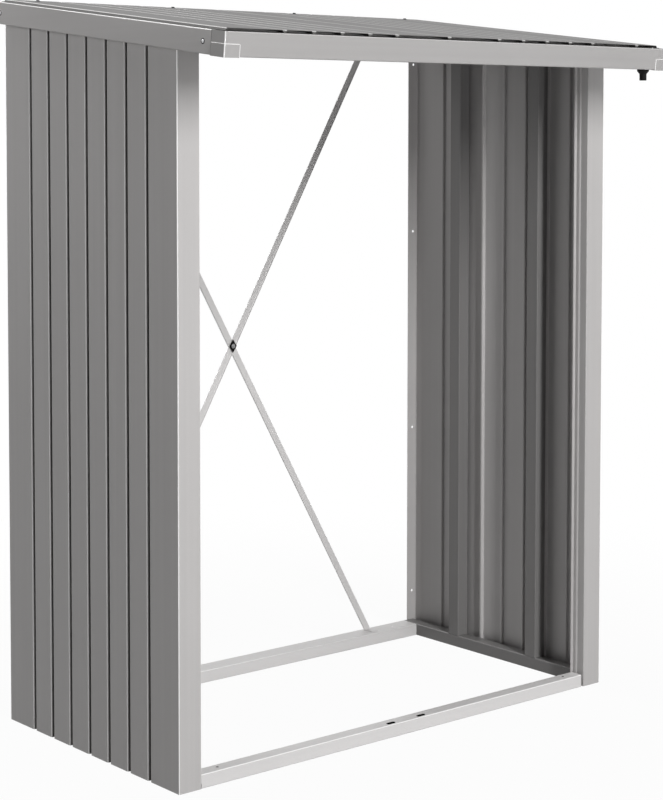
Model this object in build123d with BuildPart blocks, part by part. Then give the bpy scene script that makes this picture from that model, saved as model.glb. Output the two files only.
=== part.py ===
"""Open-fronted metal log store: folded sheet walls, base frame, back brace, sloping roof with a gutter.

Millimetres. Origin at the middle of the footprint on the floor, X to the right, Y to the back, Z up.
"""
import os
from math import atan2, cos, sin, tan

from build123d import *

os.makedirs("parts", exist_ok=True)

# Overall sizes
overall_width = 1570.0
overall_depth = 1020.0
overall_height = 1990.0
front_overhang = 220.0
roof_fall = 120.0
wall_inset = 20.0

# Sheet and fits
sheet = 1.0
bend = 3.0
seat = 0.3
overrun = 40.0
hole_cut = 3.0

# Wall profile
groove_pitch = 90.5
groove_mouth = 13.0
groove_floor = 7.0
wall_groove_depth = 9.0
lap_setback = 2.0

# Corner posts
post_width = 68.0
post_depth = 41.0
post_lip = 11.5
post_step = 3.0
post_step_back = 12.0
post_step_run = 4.0
rear_flange = 39.5
wall_hole_radius = 4.0
wall_hole_inset = 18.5
wall_hole_end = 131.0
wall_hole_inner_share = 0.37223

# Base frame
rail_height = 36.7
front_rail_depth = 40.7
front_rail_lip = 10.0
front_rail_foot = 30.0
front_rail_short = 10.0
side_rail_inset = 53.0
side_rail_foot = 10.0
rear_rail_depth = 60.0
rear_rail_foot = 30.0
anchor_hole_radius = 4.0
anchor_hole_inset = 65.0
anchor_front_inset = 22.0
anchor_rear_inset = 34.0
slot_spacing = 110.0
slot_length = 27.0
slot_width = 8.0
slot_inset = 12.0

# Wall stiffeners
stiffener_width = 44.0
stiffener_past_groove = 8.0
stiffener_joint_lip = 16.0
stiffener_free_lip = 10.0
head_drop = 25.0

# Roof
fascia_height = 60.0
fascia_flange = 39.0
roof_groove_depth = 6.0
roof_edge_inset = 15.75
roof_edge_lip = 9.0
sheet_setback = 24.0
gutter_depth = 53.0
gutter_lip = 5.0
cap_wrap = 45.0
cap_return = 8.0
cap_seam = 2.0
cap_lower_height = 30.0
beam_depth = 36.0
beam_height = 53.0
beam_setback = 2.0
rear_beam_depth = 35.0
rear_beam_height = 43.2

# Back brace
brace_width = 22.0
brace_fold = 4.0
brace_setback = 12.0
brace_inset = 152.0
brace_tab = 36.0
clip_width = 26.0
clip_height = 38.0
clip_thickness = 3.0
clip_boss_radius = 6.0

# Drain spigot
spigot_inset = 66.0
spigot_flange_radius = 17.0
spigot_flange = 5.0
spigot_cone_radius = 15.0
spigot_cone = 13.0
spigot_tube_radius = 10.0
spigot_bore_radius = 7.0
spigot_length = 32.0

# Places that follow from the sizes
roof_front = -overall_depth / 2
roof_rear = overall_depth / 2
wall_front = roof_front + front_overhang
wall_back = roof_rear - sheet - seat
wall_mid = (wall_front + roof_rear) / 2
wall_face = overall_width / 2 - wall_inset
lap_depth = wall_groove_depth + sheet + seat
lap_inner = wall_face - lap_depth - sheet
post_inner = wall_face - post_width
post_narrow = post_inner - post_step
rail_inner = wall_face - side_rail_inset
stiffener_back = lap_inner - seat
anchor_hole_x = post_inner - anchor_hole_inset
brace_foot_x = post_inner - brace_inset

# Roof frame: run is measured down the slope from the rear edge, drop square to the slope from the flats
slope = atan2(roof_fall, overall_depth)
fascia_top = -(roof_groove_depth + sheet + seat)
fascia_bottom = fascia_top - fascia_height
wall_top = fascia_top - sheet - seat
fascia_face = overall_width / 2 - sheet
gutter_front = (overall_depth - fascia_top * sin(slope)) / cos(slope)
cap_front = gutter_front + sheet + seat
gutter_back = gutter_front - gutter_depth
sheet_front = gutter_front - sheet_setback
down_slope = (0, -cos(slope), -sin(slope))
up_slope = (0, cos(slope), sin(slope))
roof_normal = (0, -sin(slope), cos(slope))
roof_origin = (0, roof_rear, overall_height)
roof_plane = Plane(origin=roof_origin, x_dir=(1, 0, 0), z_dir=roof_normal)
roof_section = Plane(origin=roof_origin, x_dir=(1, 0, 0), z_dir=down_slope)
roof_side = Plane(origin=roof_origin, x_dir=up_slope, z_dir=(1, 0, 0))
rear_plane = Plane(origin=(0, roof_rear, 0), x_dir=(1, 0, 0), z_dir=(0, 1, 0))


def folded(points, plane):
    """Section of a folded sheet: its outer face runs through the points, the sheet lies to the left."""
    with BuildSketch(plane) as section:
        with BuildLine():
            FilletPolyline(*points, radius=bend)
            offset(amount=sheet, side=Side.LEFT)
        make_face()
    return section.sketch


def groove(y):
    """Corners of one wall groove at this place, from front to back."""
    floor = wall_face - wall_groove_depth
    return [
        (wall_face, y - groove_mouth / 2),
        (floor, y - groove_floor / 2),
        (floor, y + groove_floor / 2),
        (wall_face, y + groove_mouth / 2),
    ]


def roof_groove(x):
    """Corners of one roof groove at this place, from right to left."""
    return [
        (x + groove_mouth / 2, 0),
        (x + groove_floor / 2, -roof_groove_depth),
        (x - groove_floor / 2, -roof_groove_depth),
        (x - groove_mouth / 2, 0),
    ]


def roof_height(y, drop):
    """Height of a plane parallel to the roof flats at this place."""
    return overall_height - (roof_rear - y) * tan(slope) + drop / cos(slope)


def wall_groove_y(step):
    """Place of a wall groove, counted from the middle of the wall."""
    return wall_mid + step * groove_pitch


rear_beam_bottom = roof_height(wall_back, fascia_top) - rear_beam_height
brace_low = rail_height + seat
brace_high = rear_beam_bottom - seat
brace_mid = (brace_low + brace_high) / 2

# Wall joints: the corner panels lie under the middle panel in the second groove from the middle
joint_steps = 2
joint_front = wall_groove_y(-joint_steps)
joint_rear = wall_groove_y(joint_steps)
joint_floor = wall_face - lap_depth
joint_middle_floor = wall_face - wall_groove_depth

# Wall panels
with BuildPart() as right_front_corner_panel:
    front_points = [
        (post_inner - post_lip, wall_front + post_depth),
        (post_narrow, wall_front + post_depth),
        (post_narrow, wall_front + post_depth - post_step_back),
        (post_inner, wall_front + post_depth - post_step_back - post_step_run),
        (post_inner, wall_front),
        (wall_face, wall_front),
    ]
    front_points += groove(wall_groove_y(-joint_steps - 1))
    front_points += [
        (wall_face, joint_front - groove_mouth / 2),
        (joint_floor, joint_front - groove_floor / 2),
        (joint_floor, joint_front + groove_floor / 2),
    ]
    extrude(folded(front_points, Plane.XY), amount=overall_height)
    split(bisect_by=roof_plane.offset(wall_top), keep=Keep.BOTTOM)

with BuildPart() as right_middle_panel:
    middle_points = [
        (joint_middle_floor, joint_front - groove_floor / 2 + lap_setback),
        (joint_middle_floor, joint_front + groove_floor / 2),
        (wall_face, joint_front + groove_mouth / 2),
    ]
    for step in range(1 - joint_steps, joint_steps):
        middle_points += groove(wall_groove_y(step))
    middle_points += [
        (wall_face, joint_rear - groove_mouth / 2),
        (joint_middle_floor, joint_rear - groove_floor / 2),
        (joint_middle_floor, joint_rear + groove_floor / 2 - lap_setback),
    ]
    extrude(folded(middle_points, Plane.XY), amount=overall_height)
    split(bisect_by=roof_plane.offset(wall_top), keep=Keep.BOTTOM)

wall_hole_x = wall_face - wall_hole_inset
wall_hole_outer_rise = brace_mid - wall_hole_end
wall_hole_inner_rise = wall_hole_outer_rise * wall_hole_inner_share
wall_hole_heights = [
    brace_mid - wall_hole_outer_rise,
    brace_mid - wall_hole_inner_rise,
    brace_mid + wall_hole_inner_rise,
    brace_mid + wall_hole_outer_rise,
]

with BuildPart() as right_rear_corner_panel:
    rear_points = [
        (joint_floor, joint_rear - groove_floor / 2),
        (joint_floor, joint_rear + groove_floor / 2),
        (wall_face, joint_rear + groove_mouth / 2),
    ]
    rear_points += groove(wall_groove_y(joint_steps + 1))
    rear_points += [
        (wall_face, wall_back),
        (wall_face - rear_flange, wall_back),
    ]
    extrude(folded(rear_points, Plane.XY), amount=overall_height)
    split(bisect_by=roof_plane.offset(wall_top), keep=Keep.BOTTOM)
    with BuildSketch(Plane.XZ.offset(-wall_back - sheet)):
        with Locations(*[(wall_hole_x, height) for height in wall_hole_heights]):
            Circle(wall_hole_radius)
    extrude(amount=hole_cut, mode=Mode.SUBTRACT)

# Wall stiffeners and heads
with BuildPart() as right_front_stiffener:
    stiffener_front = joint_front - stiffener_past_groove
    stiffener_rear = stiffener_front + stiffener_width
    stiffener_points = [
        (stiffener_back, stiffener_rear - stiffener_free_lip),
        (stiffener_back, stiffener_rear),
        (rail_inner, stiffener_rear),
        (rail_inner, stiffener_front),
        (stiffener_back, stiffener_front),
        (stiffener_back, stiffener_front + stiffener_joint_lip),
    ]
    extrude(folded(stiffener_points, Plane.XY.offset(rail_height + seat)), amount=overall_height)
    split(bisect_by=roof_plane.offset(wall_top - bend - seat), keep=Keep.BOTTOM)

with BuildPart() as right_rear_stiffener:
    mirrored_points = [(x, 2 * wall_mid - y) for x, y in reversed(stiffener_points)]
    extrude(folded(mirrored_points, Plane.XY.offset(rail_height + seat)), amount=overall_height)
    split(bisect_by=roof_plane.offset(wall_top - bend - seat), keep=Keep.BOTTOM)

with BuildPart() as right_wall_head:
    head_inner = rail_inner - sheet - seat
    head_points = [
        (stiffener_back, wall_top),
        (head_inner, wall_top),
        (head_inner, wall_top - head_drop),
    ]
    extrude(folded(head_points, roof_section.offset(-overrun)), amount=overrun + gutter_back)
    head_rear_plane = Plane(origin=(0, wall_back - rear_beam_depth - seat, 0), z_dir=(0, 1, 0))
    head_front_plane = Plane(origin=(0, wall_front + post_depth + sheet + seat, 0), z_dir=(0, 1, 0))
    split(bisect_by=head_rear_plane, keep=Keep.BOTTOM)
    split(bisect_by=head_front_plane, keep=Keep.TOP)

# Base frame
with BuildPart() as base_right_rail:
    rail_points = [
        (stiffener_back - side_rail_foot, 0),
        (stiffener_back, 0),
        (stiffener_back, rail_height),
        (rail_inner, rail_height),
        (rail_inner, 0),
        (rail_inner + side_rail_foot, 0),
    ]
    rail_rear = wall_back - sheet - seat
    rail_front = wall_front + sheet + seat
    extrude(folded(rail_points, Plane.XZ.offset(-rail_rear)), amount=rail_rear - rail_front)

with BuildPart() as base_front_rail:
    front_rail_points = [
        (wall_front + front_rail_depth, rail_height - front_rail_lip),
        (wall_front + front_rail_depth, rail_height),
        (wall_front, rail_height),
        (wall_front, 0),
        (wall_front + front_rail_foot, 0),
    ]
    rail_left = -post_inner + seat
    rail_right = post_inner - front_rail_short
    extrude(folded(front_rail_points, Plane.YZ.offset(rail_left)), amount=rail_right - rail_left)
    with BuildSketch(Plane.XY.offset(rail_height + sheet)):
        with Locations((-anchor_hole_x, wall_front + anchor_front_inset),
                       (anchor_hole_x, wall_front + anchor_front_inset)):
            Circle(anchor_hole_radius)
        with Locations((-slot_spacing / 2, wall_front + slot_inset),
                       (slot_spacing / 2, wall_front + slot_inset)):
            SlotOverall(slot_length, slot_width)
    extrude(amount=-hole_cut, mode=Mode.SUBTRACT)
    notch_right = bend + seat - post_narrow
    notch_front = wall_front + post_depth - post_step_back - post_step_run - bend
    with BuildSketch(Plane.XY.offset(rail_height + sheet)):
        with Locations((rail_left, notch_front)):
            Rectangle(notch_right - rail_left, post_depth, align=(Align.MIN, Align.MIN))
    extrude(amount=-rail_height - overrun, mode=Mode.SUBTRACT)

with BuildPart() as base_rear_rail:
    rear_rail_back = wall_back - sheet - seat
    rear_rail_front = rear_rail_back - rear_rail_depth
    rear_rail_points = [
        (rear_rail_back, rail_height),
        (rear_rail_front, rail_height),
        (rear_rail_front, 0),
        (rear_rail_front + rear_rail_foot, 0),
    ]
    rear_rail_end = rail_inner - seat
    extrude(folded(rear_rail_points, Plane.YZ.offset(-rear_rail_end)), amount=rear_rail_end * 2)
    with BuildSketch(Plane.XY.offset(rail_height + sheet)):
        with Locations((-anchor_hole_x, roof_rear - anchor_rear_inset),
                       (anchor_hole_x, roof_rear - anchor_rear_inset)):
            Circle(anchor_hole_radius)
    extrude(amount=-hole_cut, mode=Mode.SUBTRACT)

# Roof edge frame
with BuildPart() as roof_right_fascia:
    fascia_points = [
        (wall_face + seat, fascia_bottom),
        (fascia_face, fascia_bottom),
        (fascia_face, fascia_top),
        (fascia_face - fascia_flange, fascia_top),
    ]
    fascia_run = gutter_back - cap_seam
    extrude(folded(fascia_points, roof_section.offset(-overrun)), amount=overrun + fascia_run)
    split(bisect_by=rear_plane, keep=Keep.BOTTOM)

with BuildPart() as roof_rear_fascia:
    rear_fascia_end = fascia_face - bend - seat
    rear_fascia_low = roof_height(roof_rear, fascia_bottom + sheet + seat)
    rear_fascia_high = roof_height(roof_rear - sheet, wall_top)
    with BuildSketch(Plane.XZ.offset(-roof_rear)):
        with Locations((0, (rear_fascia_low + rear_fascia_high) / 2)):
            Rectangle(rear_fascia_end * 2, rear_fascia_high - rear_fascia_low)
    extrude(amount=sheet)

with BuildPart() as roof_rear_beam:
    beam_back = wall_back
    beam_toe = wall_back - rear_beam_depth
    rear_beam_points = [
        (beam_toe, rear_beam_bottom),
        (beam_back, rear_beam_bottom),
        (beam_back, roof_height(beam_back, fascia_top)),
        (beam_toe, roof_height(beam_toe, fascia_top)),
    ]
    rear_beam_end = wall_face - rear_flange - seat
    extrude(folded(rear_beam_points, Plane.YZ.offset(-rear_beam_end)), amount=rear_beam_end * 2)

with BuildPart() as roof_front_beam:
    beam_run = (roof_rear - wall_front - beam_setback) / cos(slope)
    front_beam_points = [
        (beam_depth - beam_run, fascia_top),
        (-beam_run, fascia_top),
        (-beam_run, fascia_top - beam_height),
        (beam_depth - beam_run, fascia_top - beam_height),
    ]
    front_beam_end = post_inner - post_lip - seat
    extrude(folded(front_beam_points, roof_side.offset(-front_beam_end)), amount=front_beam_end * 2)

# Gutter
spigot_x = overall_width / 2 - spigot_inset
spigot_run = gutter_front - gutter_depth / 2

with BuildPart() as roof_gutter:
    gutter_points = [
        (gutter_lip - gutter_front, fascia_top),
        (-gutter_front, fascia_top),
        (-gutter_front, fascia_bottom),
        (-gutter_back, fascia_bottom),
        (-gutter_back, fascia_top),
    ]
    gutter_end = fascia_face - cap_return - seat
    extrude(folded(gutter_points, roof_side.offset(-gutter_end)), amount=gutter_end * 2)
    with BuildSketch(roof_plane.offset(fascia_bottom - sheet)):
        with Locations((spigot_x, -spigot_run)):
            Circle(spigot_bore_radius)
    extrude(amount=hole_cut, mode=Mode.SUBTRACT)

with BuildPart() as gutter_right_end_cap:
    cap_outer = overall_width / 2
    cap_step = fascia_bottom + cap_lower_height
    cap_low = fascia_bottom - sheet - seat
    cap_back = gutter_back
    upper_points = [
        (fascia_face - cap_return, -gutter_front),
        (fascia_face, -gutter_front),
        (fascia_face, -cap_back),
    ]
    extrude(folded(upper_points, roof_plane.offset(cap_step - sheet)), amount=fascia_top - cap_step + sheet)
    lower_points = [
        (cap_outer - cap_wrap, -cap_front),
        (cap_outer, -cap_front),
        (cap_outer, -cap_back),
    ]
    extrude(folded(lower_points, roof_plane.offset(cap_low)), amount=cap_step - cap_low)
    with BuildSketch(roof_plane.offset(cap_low)):
        with BuildLine():
            FilletPolyline(*lower_points, (cap_outer - cap_wrap, -cap_back), radius=bend, close=True)
        make_face()
    extrude(amount=sheet)

with BuildPart() as drain_spigot:
    spigot_seat = roof_plane.offset(fascia_bottom - seat)
    spigot_top = spigot_seat.from_local_coords((spigot_x, -spigot_run, 0))
    spigot_plane = Plane(origin=spigot_top, x_dir=(1, 0, 0), z_dir=(0, -1, 0))
    with BuildSketch(spigot_plane):
        with BuildLine():
            Polyline(
                (0, spigot_flange),
                (spigot_cone_radius, spigot_flange),
                (spigot_tube_radius, -spigot_cone),
                (spigot_tube_radius, -spigot_length),
                (0, -spigot_length),
                close=True,
            )
        make_face()
    revolve(axis=Axis(spigot_top, (0, 0, 1)))
    split(bisect_by=spigot_seat, keep=Keep.BOTTOM)
    with BuildSketch(spigot_seat):
        with Locations((spigot_x, -spigot_run)):
            Circle(spigot_flange_radius)
    extrude(amount=-spigot_flange)
    with BuildSketch(Plane.XY.offset(spigot_top.Z + overrun)):
        with Locations((spigot_top.X, spigot_top.Y)):
            Circle(spigot_bore_radius)
    extrude(amount=-spigot_length - overrun * 2, mode=Mode.SUBTRACT)

# Roof sheets: two sheets of one profile, the right one lapped into the left one's last groove
edge_groove = overall_width / 2 - roof_edge_inset
lap_groove = -groove_pitch / 2
lap_floor = -(roof_groove_depth - sheet - seat)
groove_reach = edge_groove - groove_pitch / 2
right_groove_places = [lap_groove + step * groove_pitch for step in (8, 6, 5, 4, 3, 2)]
left_groove_places = [lap_groove - step * groove_pitch for step in (2, 3, 4, 5, 6)]
edge_out = groove_floor / 2 - edge_groove - roof_edge_lip
edge_floor = groove_floor / 2 - edge_groove
edge_flat = groove_mouth / 2 - edge_groove

with BuildPart() as roof_sheet_left:
    left_points = [
        (lap_groove + groove_floor / 2, -roof_groove_depth),
        (lap_groove - groove_floor / 2, -roof_groove_depth),
        (lap_groove - groove_mouth / 2, 0),
    ]
    for place in left_groove_places:
        if place > -groove_reach:
            left_points += roof_groove(place)
    left_points += [
        (edge_flat, 0),
        (edge_floor, -roof_groove_depth),
        (edge_out, -roof_groove_depth),
    ]
    extrude(folded(left_points, roof_section.offset(-overrun)), amount=overrun + sheet_front)
    split(bisect_by=rear_plane, keep=Keep.BOTTOM)

with BuildPart() as roof_sheet_right:
    right_points = [
        (-edge_out, -roof_groove_depth),
        (-edge_floor, -roof_groove_depth),
        (-edge_flat, 0),
    ]
    for place in right_groove_places:
        if place < groove_reach:
            right_points += roof_groove(place)
    right_points += [
        (lap_groove + groove_mouth / 2, 0),
        (lap_groove + groove_floor / 2, lap_floor),
        (lap_groove - groove_floor / 2 + lap_setback, lap_floor),
    ]
    extrude(folded(right_points, roof_section.offset(-overrun)), amount=overrun + sheet_front)
    split(bisect_by=rear_plane, keep=Keep.BOTTOM)

# Back brace
brace_y = wall_back - brace_setback
brace_rise = brace_high - brace_mid
brace_angle = atan2(brace_rise, brace_foot_x)
brace_reach = (brace_rise + overrun) / sin(brace_angle)
brace_cut_width = brace_width / sin(brace_angle)
brace_section = [
    (-brace_width / 2, brace_fold),
    (-brace_width / 2, 0),
    (brace_width / 2, 0),
    (brace_width / 2, brace_fold),
]


def brace_plane(lean, side):
    """Plane square to a strap at its lower end; side 1 folds to the front, side -1 to the back."""
    along_x = side * lean * cos(brace_angle)
    along_z = side * sin(brace_angle)
    face = brace_y - side * seat / 2
    origin = (-brace_reach * along_x, face, brace_mid - brace_reach * along_z)
    return Plane(origin=origin, x_dir=(-side * along_z, 0, side * along_x), z_dir=(along_x, 0, along_z))


def tab_sketch(lean, end, face, plane):
    """Foot of a strap: a flat tab turned to the front at one end."""
    with BuildSketch(plane) as foot:
        with Locations((end * lean * brace_foot_x, face - brace_tab / 2)):
            Rectangle(brace_cut_width, brace_tab)
    return foot.sketch


with BuildPart() as brace_strap_rising:
    extrude(folded(brace_section, brace_plane(1, 1)), amount=brace_reach * 2)
    split(bisect_by=Plane.XY.offset(brace_low), keep=Keep.TOP)
    split(bisect_by=Plane.XY.offset(brace_high), keep=Keep.BOTTOM)
    front_face = brace_y - seat / 2
    extrude(tab_sketch(1, -1, front_face, Plane.XY.offset(brace_low)), amount=sheet)
    extrude(tab_sketch(1, 1, front_face, Plane.XY.offset(brace_high - sheet)), amount=sheet)

with BuildPart() as brace_strap_falling:
    extrude(folded(brace_section, brace_plane(-1, -1)), amount=brace_reach * 2)
    split(bisect_by=Plane.XY.offset(brace_low), keep=Keep.TOP)
    split(bisect_by=Plane.XY.offset(brace_high), keep=Keep.BOTTOM)
    back_face = brace_y + seat / 2 + sheet
    extrude(tab_sketch(-1, -1, back_face, Plane.XY.offset(brace_low)), amount=sheet)
    extrude(tab_sketch(-1, 1, back_face, Plane.XY.offset(brace_high - sheet)), amount=sheet)

with BuildPart() as brace_cross_clip:
    clip_back = brace_y - seat / 2 - brace_fold - seat
    clip_web = brace_y - seat / 2 - sheet - seat
    with BuildSketch(Plane.XZ.offset(-clip_back)):
        with BuildLine():
            Polyline(
                (-clip_width / 2, brace_mid),
                (0, brace_mid - clip_height / 2),
                (clip_width / 2, brace_mid),
                (0, brace_mid + clip_height / 2),
                close=True,
            )
        make_face()
    extrude(amount=clip_thickness)
    with BuildSketch(Plane.XZ.offset(-clip_web)):
        with Locations((0, brace_mid)):
            Circle(clip_boss_radius)
    extrude(amount=clip_web - clip_back + clip_thickness)

# Left-hand pieces are the right-hand ones seen in a mirror
with BuildPart() as left_front_corner_panel:
    mirror(right_front_corner_panel.part, about=Plane.YZ)

with BuildPart() as left_middle_panel:
    mirror(right_middle_panel.part, about=Plane.YZ)

with BuildPart() as left_rear_corner_panel:
    mirror(right_rear_corner_panel.part, about=Plane.YZ)

with BuildPart() as left_front_stiffener:
    mirror(right_front_stiffener.part, about=Plane.YZ)

with BuildPart() as left_rear_stiffener:
    mirror(right_rear_stiffener.part, about=Plane.YZ)

with BuildPart() as left_wall_head:
    mirror(right_wall_head.part, about=Plane.YZ)

with BuildPart() as base_left_rail:
    mirror(base_right_rail.part, about=Plane.YZ)

with BuildPart() as roof_left_fascia:
    mirror(roof_right_fascia.part, about=Plane.YZ)

with BuildPart() as gutter_left_end_cap:
    mirror(gutter_right_end_cap.part, about=Plane.YZ)

# Labels and files
pieces = {
    "base_front_rail": base_front_rail,
    "base_rear_rail": base_rear_rail,
    "base_left_rail": base_left_rail,
    "base_right_rail": base_right_rail,
    "left_front_corner_panel": left_front_corner_panel,
    "left_middle_panel": left_middle_panel,
    "left_rear_corner_panel": left_rear_corner_panel,
    "right_front_corner_panel": right_front_corner_panel,
    "right_middle_panel": right_middle_panel,
    "right_rear_corner_panel": right_rear_corner_panel,
    "left_front_stiffener": left_front_stiffener,
    "left_rear_stiffener": left_rear_stiffener,
    "right_front_stiffener": right_front_stiffener,
    "right_rear_stiffener": right_rear_stiffener,
    "left_wall_head": left_wall_head,
    "right_wall_head": right_wall_head,
    "roof_left_fascia": roof_left_fascia,
    "roof_right_fascia": roof_right_fascia,
    "roof_rear_fascia": roof_rear_fascia,
    "roof_rear_beam": roof_rear_beam,
    "roof_front_beam": roof_front_beam,
    "roof_gutter": roof_gutter,
    "gutter_left_end_cap": gutter_left_end_cap,
    "gutter_right_end_cap": gutter_right_end_cap,
    "drain_spigot": drain_spigot,
    "roof_sheet_left": roof_sheet_left,
    "roof_sheet_right": roof_sheet_right,
    "brace_strap_rising": brace_strap_rising,
    "brace_strap_falling": brace_strap_falling,
    "brace_cross_clip": brace_cross_clip,
}
for name, piece in pieces.items():
    piece.part.label = name
    export_step(piece.part, f"parts/{name}.step")
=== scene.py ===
"""Looks of the log store: paint, screws, beads, spigot, plugs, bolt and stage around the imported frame.

Metres, in the frame of the CAD part: X to the right, Y to the back, Z up, origin on the floor.
"""
import math

import bpy
import numpy as np
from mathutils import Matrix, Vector


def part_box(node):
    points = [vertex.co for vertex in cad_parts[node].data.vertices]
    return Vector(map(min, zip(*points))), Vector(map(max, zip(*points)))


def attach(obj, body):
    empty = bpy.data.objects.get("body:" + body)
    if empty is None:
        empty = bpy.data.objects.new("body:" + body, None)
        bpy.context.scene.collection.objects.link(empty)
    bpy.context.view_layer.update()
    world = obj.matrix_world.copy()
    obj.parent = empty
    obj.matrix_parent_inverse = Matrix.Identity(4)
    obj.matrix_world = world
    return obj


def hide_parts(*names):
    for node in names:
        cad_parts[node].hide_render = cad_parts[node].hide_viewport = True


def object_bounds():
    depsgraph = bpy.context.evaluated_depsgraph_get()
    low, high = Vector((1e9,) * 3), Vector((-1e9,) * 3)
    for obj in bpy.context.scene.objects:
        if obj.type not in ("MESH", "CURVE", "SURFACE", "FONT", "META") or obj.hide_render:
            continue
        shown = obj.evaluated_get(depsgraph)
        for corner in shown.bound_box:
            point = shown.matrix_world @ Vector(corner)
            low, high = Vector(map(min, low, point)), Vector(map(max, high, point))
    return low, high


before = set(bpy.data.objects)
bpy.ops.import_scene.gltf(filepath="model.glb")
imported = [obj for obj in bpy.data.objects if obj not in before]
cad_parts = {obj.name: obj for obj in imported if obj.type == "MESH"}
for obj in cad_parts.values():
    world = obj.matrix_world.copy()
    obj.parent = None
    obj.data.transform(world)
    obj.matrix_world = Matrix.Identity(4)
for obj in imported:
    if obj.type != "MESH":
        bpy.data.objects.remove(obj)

bl_info = {
    "name": "Log Store Looks",
    "version": (1, 0, 0),
    "blender": (4, 5, 0),
    "location": "View3D > Sidebar > Log Store",
    "description": "Paints the log store's sheet metal and adds its fixings, beads, spigot and stage",
    "category": "Object",
}

CAD_LOW, CAD_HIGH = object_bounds()
BODY = "root"
LAMP_DISTANCE = 6.0
SHARP_ANGLE = math.radians(32.0)
HEAD_SIDES, BEAD_SIDES = 36, 16
BEAD_STEPS, CORNER_STEPS = 6, 8
BEAD_OUTSIDE = 0.6
NEAR_UPRIGHT = 0.9
PLAIN_WHITE = (1.0, 1.0, 1.0, 1.0)
FLOOR_FACE = (0, 2, 3, 1)
SIDEWAYS, BACKWARDS, UPWARDS = (1.0, 0.0, 0.0), (0.0, 1.0, 0.0), (0.0, 0.0, 1.0)

# Pitches between the joint grooves, and the grooves with a foot screw, in pitches from the middle
JOINT_PITCHES = 4
FOOT_SCREW_GROOVES = np.array([-3.0, -1.0, 3.0])

# Scales of the paint's faint rolled streaks: fine across the sheet, long along it, even on the straps
UPRIGHT_STREAKS = (70.0, 70.0, 0.5)
CROSSWISE_STREAKS = (0.5, 70.0, 70.0)
LENGTHWISE_STREAKS = (70.0, 0.5, 70.0)
EVEN_STREAKS = (6.0, 6.0, 6.0)

# Scales of the finishes' noises, and the part of a noise's range that is used
MOTTLE_SCALE, FLAKE_SCALE, PEEL_SCALE = 2.4, 950.0, 240.0
GRAIN_SCALE, FLOW_SCALE, CLOUD_SCALE = 1400.0, 90.0, 420.0
NOISE_LOW, NOISE_HIGH = 0.3, 0.7

# Shares of the noises in the paint's tone, the darkest and lightest tones, and the swing of the roughness
STREAK_SHARE, MOTTLE_SHARE, FLAKE_SHARE = 0.45, 0.30, 0.25
PAINT_TONES, PLASTIC_TONES, SCREW_TONES = (0.955, 1.045), (0.85, 1.2), (0.88, 1.12)
ROUGHNESS_SWING = 0.015
PLASTIC_ROUGHNESS, SCREW_ROUGHNESS = (0.46, 0.58), (0.26, 0.40)
PAINT_SPECULAR, PAINT_SPECULAR_TINT = 0.35, (0.3, 0.3, 0.3, 1.0)
PAINT_BUMP = {"Strength": 0.10, "Distance": 0.0002}
PLASTIC_BUMP = {"Strength": 0.25, "Distance": 0.0002}

# A fold's normal has no part larger than the first of these, a flat's has one larger than the second
FOLD_TURN = (0.90, 0.97)
# Folds that face further back or further down than these get no painted highlight
FOLD_MOST_BACK, FOLD_MOST_DOWN = 0.15, -0.3
# Least outward share of a normal for the painted groove shade; downward share from which the roof's
# underside takes painted shade
OUTWARD_LEAST, UNDERSIDE_DOWN = 0.05, -0.2

# Depths below the flats at which the painted shade in a hollow starts and at which it is full
WALL_SHADE_DEPTHS, ROOF_SHADE_DEPTHS, RAIL_SHADE_DEPTHS = (0.0025, 0.0055), (0.0010, 0.0030), (0.0035, 0.0055)

# Nodes by finish
LEFT_WALL_NODES = ("left_front_corner_panel", "left_middle_panel", "left_rear_corner_panel")
RIGHT_WALL_NODES = ("right_front_corner_panel", "right_middle_panel", "right_rear_corner_panel")
STIFFENER_NODES = (
    "left_front_stiffener", "left_rear_stiffener", "right_front_stiffener", "right_rear_stiffener",
)
CROSSWISE_NODES = ("roof_rear_fascia", "roof_rear_beam", "roof_front_beam", "roof_gutter")
FRONT_RAIL_NODES = ("base_front_rail",)
REAR_RAIL_NODES = ("base_rear_rail",)
STRAP_NODES = ("brace_strap_rising", "brace_strap_falling")
LENGTHWISE_NODES = ("roof_left_fascia", "roof_right_fascia")
CAP_NODES = ("gutter_left_end_cap", "gutter_right_end_cap")
INNER_NODES = ("base_left_rail", "base_right_rail", "left_wall_head", "right_wall_head")
ROOF_NODES = ("roof_sheet_left", "roof_sheet_right")

# Rings of a head from its seat to its middle: radius share, height share, facet share
PAN_HEAD = np.array([
    (1.00, 0.00, 0.0),
    (1.00, 0.22, 0.0),
    (0.96, 0.48, 0.0),
    (0.86, 0.72, 0.0),
    (0.70, 0.90, 0.0),
    (0.54, 0.98, 0.0),
    (0.48, 1.00, 1.0),
    (0.45, 0.40, 1.0),
])
HEX_HEAD = np.array([
    (1.00, 0.00, 0.0),
    (1.00, 0.16, 0.0),
    (0.95, 0.24, 0.0),
    (0.70, 0.28, 0.0),
    (0.66, 0.29, 1.0),
    (0.66, 0.90, 1.0),
    (0.58, 1.00, 0.6),
])
SPIGOT = np.array([
    (1.00, 0.00, 0.0),
    (1.00, 0.19, 0.0),
    (0.97, 0.24, 0.0),
    (0.90, 0.28, 0.0),
    (0.68, 0.41, 0.0),
    (0.61, 0.46, 0.0),
    (0.59, 0.52, 0.0),
    (0.59, 0.96, 0.0),
    (0.56, 1.00, 0.0),
    (0.44, 1.00, 0.0),
    (0.41, 0.97, 0.0),
    (0.41, 0.06, 0.0),
])
FLAT_HEAD = np.array([
    (1.00, 0.00, 0.0),
    (1.00, 0.60, 0.0),
    (0.90, 1.00, 0.0),
])

# Height share of a head's middle
PAN_SOCKET_FLOOR, FLAT_TOP, SPIGOT_BORE_END = 0.38, 1.0, 0.05


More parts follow.
